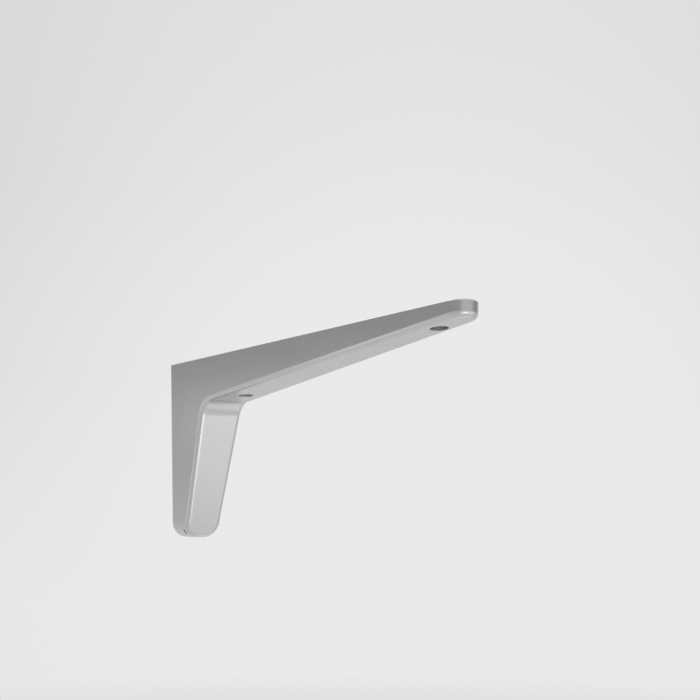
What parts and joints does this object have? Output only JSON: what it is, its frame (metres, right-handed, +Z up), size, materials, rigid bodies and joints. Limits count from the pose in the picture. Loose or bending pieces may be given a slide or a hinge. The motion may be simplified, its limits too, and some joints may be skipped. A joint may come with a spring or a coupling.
{
  "type": "wall bracket",
  "caption": "Slim shelf bracket: a hollow tapered metal arm and leg that hang on a hidden wall plate with a hook and a spring catch.",
  "frame": {"origin": "on the wall, midway between the two wall screws", "axes": "+Z up, +Y into the wall, +X along the wall to the right for someone who faces it; the arm runs out along -Y"},
  "size_m": [0.0244, 0.1936, 0.08],
  "materials": {
    "satin_metal": "satin silver on a zinc casting",
    "zinc_plated_steel": "zinc plated",
    "spring_steel": "plain rolled",
    "rivet_steel": "bright"
  },
  "bodies": {
    "root": {"bracket_body": "satin_metal", "wall_plate": "zinc_plated_steel", "spring_catch": "spring_steel", "catch_rivets": "rivet_steel"}
  },
  "joints": []
}
